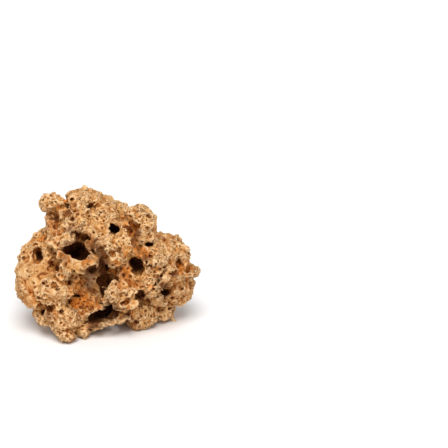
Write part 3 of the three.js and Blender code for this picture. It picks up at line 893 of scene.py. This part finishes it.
# Partly pale wear, partly painted light: some places are brightened where they face away from the lamp.
PALE_AND_LIT_PLACES = (
    (33, 275, 12, 0.5), (147, 277, 8, 0.4), (88, 194, 12, 0.7), (41, 273, 7, 0.9), (58, 301, 7, 0.5),
    (82, 326, 8, 1.0), (160, 239, 9, 0.9), (166, 266, 6, 0.8), (44, 246, 8, 0.4), (94, 216, 13, 1.0),
    (89, 231, 5, 0.8), (52, 250, 8, 0.9), (40, 281, 9, 0.7), (66, 304, 8, 1.0), (84, 212, 6, 0.8),
    (98, 296, 5, 0.6), (120, 292, 8, 0.3), (172, 250, 9, 0.4), (150, 311, 13, 1.0), (162, 313, 9, 1.0),
    (146, 208, 8, 0.6), (120, 208, 9, 0.9), (118, 240, 6, 0.3), (101, 225, 6, 0.8), (36, 289, 7, 0.9),
    (73, 277, 5, 0.9), (83, 318, 5, 0.8), (155, 243, 7, 0.8), (135, 277, 6, 0.5), (48, 245, 8, 0.7),
    (54, 257, 7, 0.8), (190, 283, 5, 0.7),
)
GREY_PLACES = (
    (91, 277, 6, 1.0), (90, 284, 5, 1.0), (71, 233, 7, 0.8), (98, 236, 6, 0.4), (180, 294, 9, 0.3),
    (58, 322, 12, 0.3),
)
# Partly brown stain, partly painted shade: recesses, creases, ledge undersides and the cave floor are
# darkened.
BROWN_AND_SHADE_PLACES = (
    (79, 236, 7, 1.0), (85, 239, 6, 0.8), (137, 232, 7, 1.0), (130, 229, 6, 0.9), (70, 232, 5, 0.5),
    (59, 269, 6, 1.0), (50, 308, 6, 1.0), (44, 312, 4, 1.0), (99, 251, 7, 1.0), (94, 250, 4, 1.0),
    (101, 257, 6, 1.0), (105, 262, 6, 1.0), (109, 268, 5, 1.0), (103, 270, 7, 1.0), (117, 269, 4, 0.8),
    (95, 267, 5, 1.0), (89, 269, 4, 0.9), (100, 277, 6, 1.0), (105, 276, 7, 1.0), (103, 283, 7, 1.0),
    (107, 279, 7, 1.0), (105, 289, 6, 1.0), (109, 304, 6, 1.0), (115, 305, 5, 0.8), (92, 317, 7, 1.0),
    (86, 318, 4, 0.9), (166, 291, 7, 1.0), (172, 287, 4, 0.7), (173, 274, 6, 0.9), (57, 219, 6, 1.0),
    (69, 209, 5, 0.9), (51, 263, 5, 0.4), (148, 262, 6, 0.8), (143, 259, 4, 0.8), (158, 279, 5, 0.9),
    (154, 285, 4, 0.8), (132, 319, 4, 0.8), (147, 299, 5, 0.7), (142, 304, 4, 0.6), (46, 226, 6, 0.5),
    (70, 283, 5, 0.5), (70, 302, 4, 0.5), (75, 309, 4, 0.8), (61, 312, 3, 0.8), (180, 262, 4, 0.7),
    (39, 256, 6, 0.9), (39, 308, 4, 0.6), (128, 284, 4, 0.7), (117, 251, 4, 0.7), (90, 245, 5, 0.7),
    (96, 246, 5, 0.8), (52, 219, 5, 0.8), (54, 227, 5, 0.7), (68, 207, 6, 1.0), (146, 257, 6, 0.9),
    (150, 266, 6, 0.8), (172, 267, 6, 0.5), (176, 273, 6, 0.9), (192, 263, 4, 0.7), (161, 285, 7, 0.9),
    (166, 286, 7, 0.9), (48, 314, 7, 0.8), (90, 323, 6, 1.0), (128, 321, 5, 1.0), (118, 309, 6, 1.0),
    (81, 271, 3, 0.9), (133, 256, 4, 0.6), (75, 336, 4, 0.7), (121, 261, 4, 0.6), (95, 242, 8, 0.95),
    (101, 249, 6, 0.6), (133, 241, 7, 0.75), (121, 253, 5, 0.6), (147, 234, 6, 0.5), (110, 238, 6, 0.35),
    (139, 250, 6, 0.75), (70, 229, 6, 0.8), (123, 310, 5, 1.0), (127, 326, 5, 0.8), (125, 316, 4, 0.7),
    (140, 328, 6, 0.5), (147, 326, 5, 0.5), (91, 327, 5, 0.9), (98, 330, 6, 0.9), (90, 330, 4, 0.9),
    (95, 324, 6, 0.9), (104, 330, 6, 0.8), (109, 326, 4, 0.7), (104, 321, 5, 0.6), (66, 243, 5, 0.8),
    (61, 258, 5, 0.6), (82, 260, 5, 0.6), (90, 258, 5, 0.7), (68, 212, 7, 0.9), (158, 285, 5, 0.6),
    (54, 229, 6, 0.5), (99, 320, 7, 1.0), (106, 318, 6, 1.0), (112, 316, 5, 0.9), (92, 326, 6, 1.0),
    (102, 263, 5, 1.0), (128, 315, 4, 1.0), (102, 252, 8, 0.9), (87, 242, 4, 0.9), (97, 262, 4, 0.8),
    (66, 288, 5, 0.4), (64, 234, 6, 0.4), (138, 233, 8, 0.5), (146, 262, 5, 0.8), (190, 267, 6, 0.6),
    (75, 339, 5, 0.7), (52, 320, 8, 0.5), (110, 267, 5, 0.7), (184, 292, 7, 0.5), (101, 325.5, 4, 0.75),
    (96, 326, 5, 1.0), (107, 325, 4, 0.65), (64, 257, 6, 0.75), (50, 321, 8, 0.45), (56, 327, 6, 0.5),
    (183, 285, 6, 0.4), (188, 302, 6, 0.5), (196, 270, 5, 0.6), (92, 246, 5, 0.8), (178, 288, 7, 0.5),
    (62, 270, 5, 0.6), (84, 271, 4, 0.7), (122, 255, 6, 0.5), (118.5, 251, 5, 1.0), (66, 232, 6, 0.5),
    (94, 233, 5, 0.5), (62, 290, 5, 0.45), (70, 310, 5, 0.5), (20, 286, 7, 0.45), (28, 272, 8, 0.42),
    (98, 233, 7, 0.5), (143, 236, 6, 0.45), (113, 222, 4, 0.5), (112, 321, 5, 0.45), (72, 231, 5, 0.5),
)


def stain(places):
    """The strongest of the bell curves round these places, at each corner of the skin."""
    total = np.zeros(len(corner_places))
    for across, down, reach, strength in places:
        spot = sight_spot(across, down)
        away = np.linalg.norm(corner_places - grid_low - spot, axis=1)
        total = np.maximum(total, strength * np.exp(-((away / (reach * PX_MM)) ** 2)))
    return total


# %% Stains along the valleys, and all stains, painted light and painted shade kept at the skin's corners
VALLEY_STAIN_REACH = 1.5
VALLEY_RUST, BACK_RUST = 0.7, 0.6


def valley_stain():
    """Rust along the valleys: 1 on a valley's path, fading out by a bell curve as wide as 1.5 radii."""
    total = np.zeros(len(corner_places))
    for radius, spots in valleys.values():
        away = np.min([np.linalg.norm(corner_places - grid_low - spot, axis=1) for spot in spots], axis=0)
        total = np.maximum(total, np.exp(-((away / (VALLEY_STAIN_REACH * radius)) ** 2)))
    return total


back_rust = BACK_RUST * sampled(back_lines.astype(np.float32), corner_places, CELL)
front_rust = np.maximum(stain(RUST_PLACES), VALLEY_RUST * valley_stain())
keep_attribute("rust_stain", np.maximum(front_rust, back_rust))
keep_attribute("pale_wear_and_light", stain(PALE_AND_LIT_PLACES))
keep_attribute("brown_stain_and_shade", stain(BROWN_AND_SHADE_PLACES))
keep_attribute("grey_wear", stain(GREY_PLACES))
keep_attribute("calm", calmness(corner_places - grid_low))

# %% [markdown]
# ## The stone's finish
# Dry clay stone is matt and chalky. Its colour runs from pale tan on rims and knobs, through ochre, to dark
# brown in the hollows, with rusty orange stains. The pale tan on rims and knobs is painted highlight, and
# the dark brown in the hollows is painted shade, with some brown stain. The material is built up in layers,
# as a
# painter would: each covers what is below it by a share that comes from the numbers kept at the skin's
# corners. Noise fixed to the stone breaks the shares up, so that no edge is smooth.

# %% Colours
PALE = (0.83, 0.54, 0.275)
TAN = (0.57, 0.305, 0.118)
OCHRE = (0.47, 0.205, 0.058)
ORANGE = (0.78, 0.285, 0.046)
RUST = (0.48, 0.148, 0.017)
BROWN = (0.20, 0.058, 0.009)
UMBER = (0.12, 0.032, 0.005)
GREY = (0.56, 0.36, 0.215)
SHADE = (0.96, 0.73, 0.36)
WORN_AND_LIT = (0.77, 0.525, 0.29)
HOLLOW_SHADE_COLOUR = (0.15, 0.046, 0.012)
print("from", PALE, "on the rims to", HOLLOW_SHADE_COLOUR, "deep inside")

# %% Noise, shares and covers
NOISE = {
    # cells to the metre, and detail
    "grain": (420.0, 4.0),
    "clusters": (75.0, 2.0),
    "tan_and_ochre": (60.0, 4.0),
    "rust_clouds": (25.0, 4.0),
    "stain_edges": (150.0, 4.0),
    "rust_and_orange": (90.0, 4.0),
    "channels": (230.0, 2.0),
    "channel_gaps": (110.0, 1.0),
}
SPAN = {
    # the number at which a share is 0, and the one at which it is 1
    "clusters": (0.4, 0.6),
    "tan_and_ochre": (0.38, 0.62),
    "rust_clouds": (0.48, 0.62),
    "valley_rust_and_shade": (0.45, 0.74),
    "hidden": (0.78, 0.97),
    "stand_out_highlight": (0.42, 0.25),
    "crease_rust_and_shade": (0.52, 0.67),
    "rust": (0.85, 1.4),
    "rust_and_orange": (0.35, 0.57),
    "rim_highlight": (0.53, 0.37),
    "brown_and_shade": (0.4, 1.1),
    "channels": (0.055, 0.012),
    "channel_gaps": (0.4, 0.54),
    "bank_inner": (0.04, 0.07),
    "bank_outer": (0.13, 0.08),
    "pits": (0.51, 0.65),
    "shade": (0.65, 0.95),
}
COVER = {
    # how much of what is below a layer hides where its share is 1
    "rust_clouds": 0.4,
    "valley_rust_and_shade": 0.5,
    "hidden": 0.35,
    "stand_out_highlight": 0.25,
    "crease_rust_and_shade": 0.9,
    "rim_highlight": 0.9,
    "banks": 0.42,
    "channels": 0.75,
    "pits": 0.95,
    "rings": 0.6,
    "pores": 0.95,
    "shade": 0.8,
    "hollow_shade": 0.95,
}
print("layers", len(COVER), "noises", len(NOISE))

# %% Helpers that add nodes
clay = bpy.data.materials.new("clay_stone")
clay.use_nodes = True
clay.node_tree.nodes.clear()


def node(kind, **settings):
    """A new node in the clay material, with these settings."""
    made = clay.node_tree.nodes.new(kind)
    for key, value in settings.items():
        setattr(made, key, value)
    return made


def put(value, socket):
    """Links a socket to an input, or sets the input to a number or a colour."""
    if isinstance(value, bpy.types.NodeSocket):
        clay.node_tree.links.new(value, socket)
    elif isinstance(value, tuple):
        socket.default_value = (*value, 1)
    else:
        socket.default_value = value


def kept(name):
    """A number that was kept at the skin's corners."""
    return node("ShaderNodeAttribute", attribute_name=name, attribute_type="GEOMETRY").outputs["Fac"]


stone_place = node("ShaderNodeTexCoord").outputs["Object"]


def noise(name):
    """The named noise at each place on the stone, about 0.3 to 0.7."""
    made = node("ShaderNodeTexNoise")
    scale, detail = NOISE[name]
    put(scale, made.inputs["Scale"])
    put(detail, made.inputs["Detail"])
    put(stone_place, made.inputs["Vector"])
    return made.outputs["Fac"]


def between(value, low, high):
    """0 at the low number, 1 at the high one, and clamped outside."""
    made = node("ShaderNodeMapRange", interpolation_type="SMOOTHSTEP")
    put(value, made.inputs["Value"])
    put(low, made.inputs["From Min"])
    put(high, made.inputs["From Max"])
    return made.outputs["Result"]


def spanned(value, name):
    """The named layer's share: 0 at one end of its span and 1 at the other."""
    return between(value, *SPAN[name])


def maths(operation, a, b=0.0):
    """A calculation with one or two inputs, by its name in Blender."""
    made = node("ShaderNodeMath", operation=operation)
    put(a, made.inputs[0])
    put(b, made.inputs[1])
    return made.outputs[0]


def times(a, b):
    """a * b"""
    return maths("MULTIPLY", a, b)


def plus(a, b):
    """a + b"""
    return maths("ADD", a, b)


def less(a, b, part=1.0):
    """a - part * b"""
    return maths("SUBTRACT", a, times(b, part))


def layer(value, name):
    """How much the named layer hides of what is below it: its share times its cover."""
    return times(spanned(value, name), COVER[name])


def blend(cover, below, paint, kind="MIX"):
    """The colour below, covered by this much of the paint."""
    made = node("ShaderNodeMix", data_type="RGBA", blend_type=kind)
    put(cover, made.inputs[0])
    put(below, made.inputs[6])
    put(paint, made.inputs[7])
    return made.outputs[2]


print("helpers ready for", clay.name)

# %% [markdown]
# ### Ground colour
# The bare clay is tan and ochre in patches, with clouds of rust. It is rustier in wide valleys and creases,
# partly as rust and partly as painted shade, browner where it is hidden, as painted shade, and paler where
# it stands out, as a painted highlight.

# %% Ground colour
GRAIN_IN_CREASES = 0.12

grain = noise("grain")
colour = blend(spanned(noise("tan_and_ochre"), "tan_and_ochre"), TAN, OCHRE)
colour = blend(layer(noise("rust_clouds"), "rust_clouds"), colour, RUST)
# Partly rust, partly painted shade: rustier in wide valleys.
colour = blend(layer(kept("wide_share"), "valley_rust_and_shade"), colour, RUST)
# Painted shade: browner where the spot is hidden.
colour = blend(layer(kept("hidden"), "hidden"), colour, BROWN)
# Painted highlight: paler where the stone stands out.
colour = blend(layer(kept("wide_share"), "stand_out_highlight"), colour, PALE)
# Partly rust, partly painted shade: rustier in creases.
crease_rust_and_shade = plus(kept("middle_share"), times(grain, GRAIN_IN_CREASES))
colour = blend(layer(crease_rust_and_shade, "crease_rust_and_shade"), colour, RUST)
print("nodes", len(clay.node_tree.nodes))

# %% [markdown]
# ### Stains and rims
# Rust lies below, with a ragged edge. Worn and grey patches come over it, the pale ones partly painted
# light, then the pale rims, painted highlight, which rust dulls, and brown over all, partly brown stain
# and partly painted shade.

# %% Stains and rims
STAIN_EDGE_NOISE = 1.2
RUST_ON_RIMS = 0.55
GRAIN_IN_RIMS, GRAIN_IN_BROWN_AND_SHADE = 0.12, 0.4

rust = spanned(plus(kept("rust_stain"), times(noise("stain_edges"), STAIN_EDGE_NOISE)), "rust")
colour = blend(rust, colour, blend(spanned(noise("rust_and_orange"), "rust_and_orange"), RUST, ORANGE))
# Partly pale wear, partly painted light.
colour = blend(kept("pale_wear_and_light"), colour, WORN_AND_LIT)
colour = blend(kept("grey_wear"), colour, GREY)
# Painted highlight: the raised rims of the pits are painted pale.
rim_highlight = spanned(plus(kept("fine_share"), times(grain, GRAIN_IN_RIMS)), "rim_highlight")
colour = blend(times(rim_highlight, less(COVER["rim_highlight"], rust, RUST_ON_RIMS)), colour, PALE)
# Partly brown stain, partly painted shade.
brown_and_shade = spanned(plus(kept("brown_stain_and_shade"), times(grain, GRAIN_IN_BROWN_AND_SHADE)), "brown_and_shade")
colour = blend(brown_and_shade, colour, UMBER)
print("nodes", len(clay.node_tree.nodes))

# %% [markdown]
# ### Channels between the pores
# Under a hand lens the crust is a network of thin winding channels with pale banks. They are where a noise
# is near its middle value. They fade out on smooth and grey places, and their banks fade where rust lies and
# where the brown lies, which is partly stain and partly painted shade.

# %% Channels and their banks
NOISE_MIDDLE = 0.5
ON_CALM, ON_GREY = 0.6, 0.9
ON_RUST, ON_BROWN_AND_SHADE = 0.6, 0.7
CHANNELS_ALWAYS, CHANNELS_ROUGH = 0.25, 0.75

rough = less(1.0, kept("calm"), ON_CALM)
rough = times(rough, less(1.0, kept("grey_wear"), ON_GREY))
bare = times(less(1.0, rust, ON_RUST), less(1.0, brown_and_shade, ON_BROWN_AND_SHADE))
winding = maths("ABSOLUTE", maths("SUBTRACT", noise("channels"), NOISE_MIDDLE))
banks = times(spanned(winding, "bank_inner"), spanned(winding, "bank_outer"))
colour = blend(times(times(banks, COVER["banks"]), bare), colour, PALE)
channels = times(spanned(winding, "channels"), spanned(noise("channel_gaps"), "channel_gaps"))
channels = times(channels, plus(CHANNELS_ALWAYS, times(rough, CHANNELS_ROUGH)))
clusters = spanned(noise("clusters"), "clusters")
colour = blend(times(channels, COVER["channels"]), colour, blend(clusters, RUST, BROWN))
print("nodes", len(clay.node_tree.nodes))

# %% [markdown]
# ### Pits and pores
# The carved pits are painted brown inside, as painted shade. Pores too small to carve are round spots in
# some cells of a Voronoi pattern, painted dark as painted shade with a pale ring as painted highlight, and
# lie closer together in clusters.

# %% Pits and pores
PORES = {
    # cells to the metre, share of the cells, size in cells
    "wide": (290.0, 0.6, 0.25),
    "small": (500.0, 0.75, 0.34),
}
PICK_EDGE = 0.05
PORE_FULL, RING_FULL, RING_END = 0.55, 1.2, 1.9
PORES_ALWAYS, PORES_IN_CLUSTERS = 0.35, 0.65


def ring_pores(scale, part, size):
    """Round pores in a part of the scattered cells: how far each place is inside one, and on its ring."""
    cells = node("ShaderNodeTexVoronoi")
    put(scale, cells.inputs["Scale"])
    put(stone_place, cells.inputs["Vector"])
    pick = node("ShaderNodeSeparateColor")
    put(cells.outputs["Color"], pick.inputs["Color"])
    chosen = between(pick.outputs["Red"], part, part - PICK_EDGE)
    inside = times(chosen, between(cells.outputs["Distance"], size, PORE_FULL * size))
    ring = times(chosen, between(cells.outputs["Distance"], RING_END * size, RING_FULL * size))
    return inside, times(ring, maths("SUBTRACT", 1.0, inside))


# Painted shade: the carved pits are painted brown inside.
colour = blend(layer(kept("fine_share"), "pits"), colour, BROWN)
wide_pores, wide_rings = ring_pores(*PORES["wide"])
small_pores, small_rings = ring_pores(*PORES["small"])
porous = times(rough, plus(PORES_ALWAYS, times(clusters, PORES_IN_CLUSTERS)))
pores = times(maths("MAXIMUM", wide_pores, small_pores), porous)
rings = times(maths("MAXIMUM", wide_rings, small_rings), porous)
# Painted highlight: a pale ring round each pore.
colour = blend(times(times(rings, COVER["rings"]), bare), colour, PALE)
# Painted shade: the pores are painted dark.
colour = blend(times(pores, COVER["pores"]), colour, UMBER)
print("nodes", len(clay.node_tree.nodes))

# %% [markdown]
# ### Painted shade and grain
# Hidden places are painted darker and redder, as painted shade, because light that gets there has met clay
# before. The deep hollows are painted near black inside, as painted shade. The finest relief is a bump:
# grain and rings stand up, pores and channels sink.

# %% Painted shade, and the shader
SHADE_ON_GREY = 0.6
BUMP_GRAIN, BUMP_RINGS, BUMP_CHANNELS = 0.6, 0.4, 0.7
BUMP_STRENGTH, BUMP_DISTANCE = 0.9, 0.0007
ROUGHNESS, SHINE = 0.92, 0.2

# Painted shade: hidden places are multiplied darker and redder, standing in for light bounced off clay.
shade = times(spanned(kept("hidden"), "shade"), less(COVER["shade"], kept("grey_wear"), SHADE_ON_GREY))
colour = blend(shade, colour, SHADE, "MULTIPLY")
# Painted shade: near black inside the deep hollows.
colour = blend(times(kept("hollow_shade"), COVER["hollow_shade"]), colour, HOLLOW_SHADE_COLOUR)
relief = maths("SUBTRACT", plus(times(grain, BUMP_GRAIN), times(rings, BUMP_RINGS)), pores)
relief = less(relief, channels, BUMP_CHANNELS)
bump = node("ShaderNodeBump")
put(BUMP_STRENGTH, bump.inputs["Strength"])
put(BUMP_DISTANCE, bump.inputs["Distance"])
put(relief, bump.inputs["Height"])
shader = node("ShaderNodeBsdfPrincipled")
put(ROUGHNESS, shader.inputs["Roughness"])
put(SHINE, shader.inputs["Specular IOR Level"])
put(colour, shader.inputs["Base Color"])
put(bump.outputs["Normal"], shader.inputs["Normal"])
put(shader.outputs["BSDF"], node("ShaderNodeOutputMaterial").inputs["Surface"])
print("nodes", len(clay.node_tree.nodes))

# %% Put the skin in the stone's place
thinned.materials.clear()
thinned.materials.append(clay)
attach(skin, "root")
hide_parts(CAD_NODE)
print("the skin stands in for", CAD_NODE)

# %% [markdown]
# ## Floor and light
# The stone stands on a seamless white floor in soft light from all round, with one wide lamp above and in
# front. A sun stands for that lamp, because its light is as strong on the far floor as on the near one.

# %% Floor
FLOOR_HALF = 3.0
FLOOR_WHITE = (0.93, 0.93, 0.93)
FLOOR_ROUGHNESS, FLOOR_SHINE = 1.0, 0.0

floor_mesh = bpy.data.meshes.new("floor")
corners = [(x * FLOOR_HALF, y * FLOOR_HALF, 0.0) for x, y in ((-1, -1), (1, -1), (1, 1), (-1, 1))]
floor_mesh.from_pydata(corners, [], [(0, 1, 2, 3)])
floor = bpy.data.objects.new("floor", floor_mesh)
bpy.context.scene.collection.objects.link(floor)
floor_paint = bpy.data.materials.new("floor_white")
floor_paint.use_nodes = True
floor_shader = floor_paint.node_tree.nodes["Principled BSDF"]
floor_shader.inputs["Base Color"].default_value = (*FLOOR_WHITE, 1)
floor_shader.inputs["Roughness"].default_value = FLOOR_ROUGHNESS
floor_shader.inputs["Specular IOR Level"].default_value = FLOOR_SHINE
floor_mesh.materials.append(floor_paint)
print("floor", 2 * FLOOR_HALF, "m wide")

# %% Lights
STUDIO_WHITE, STUDIO_STRENGTH = (1.0, 1.0, 1.0), 0.53
LAMP_PLACE = (-0.08, -0.85, 1.3)
LAMP_SOFTNESS, LAMP_STRENGTH = 35, 2.65

world = bpy.data.worlds.new("studio")
world.use_nodes = True
world.node_tree.nodes["Background"].inputs["Color"].default_value = (*STUDIO_WHITE, 1)
world.node_tree.nodes["Background"].inputs["Strength"].default_value = STUDIO_STRENGTH
bpy.context.scene.world = world


def soft_sun(name, place, softness, strength):
    """A sun that shines from a place toward the stone's middle; `softness` is its width in degrees."""
    data = bpy.data.lights.new(name, "SUN")
    data.angle = math.radians(softness)
    data.energy = strength
    made = bpy.data.objects.new(name, data)
    made.location = place
    made.rotation_euler = (AIM - Vector(place)).to_track_quat("-Z", "Y").to_euler()
    bpy.context.scene.collection.objects.link(made)


soft_sun("key", LAMP_PLACE, LAMP_SOFTNESS, LAMP_STRENGTH)
scene = bpy.context.scene
scene.view_settings.view_transform = "Standard"
scene.view_settings.look = "None"
print("lamp", [round(v, 2) for v in LAMP_PLACE], "m, strength", LAMP_STRENGTH)
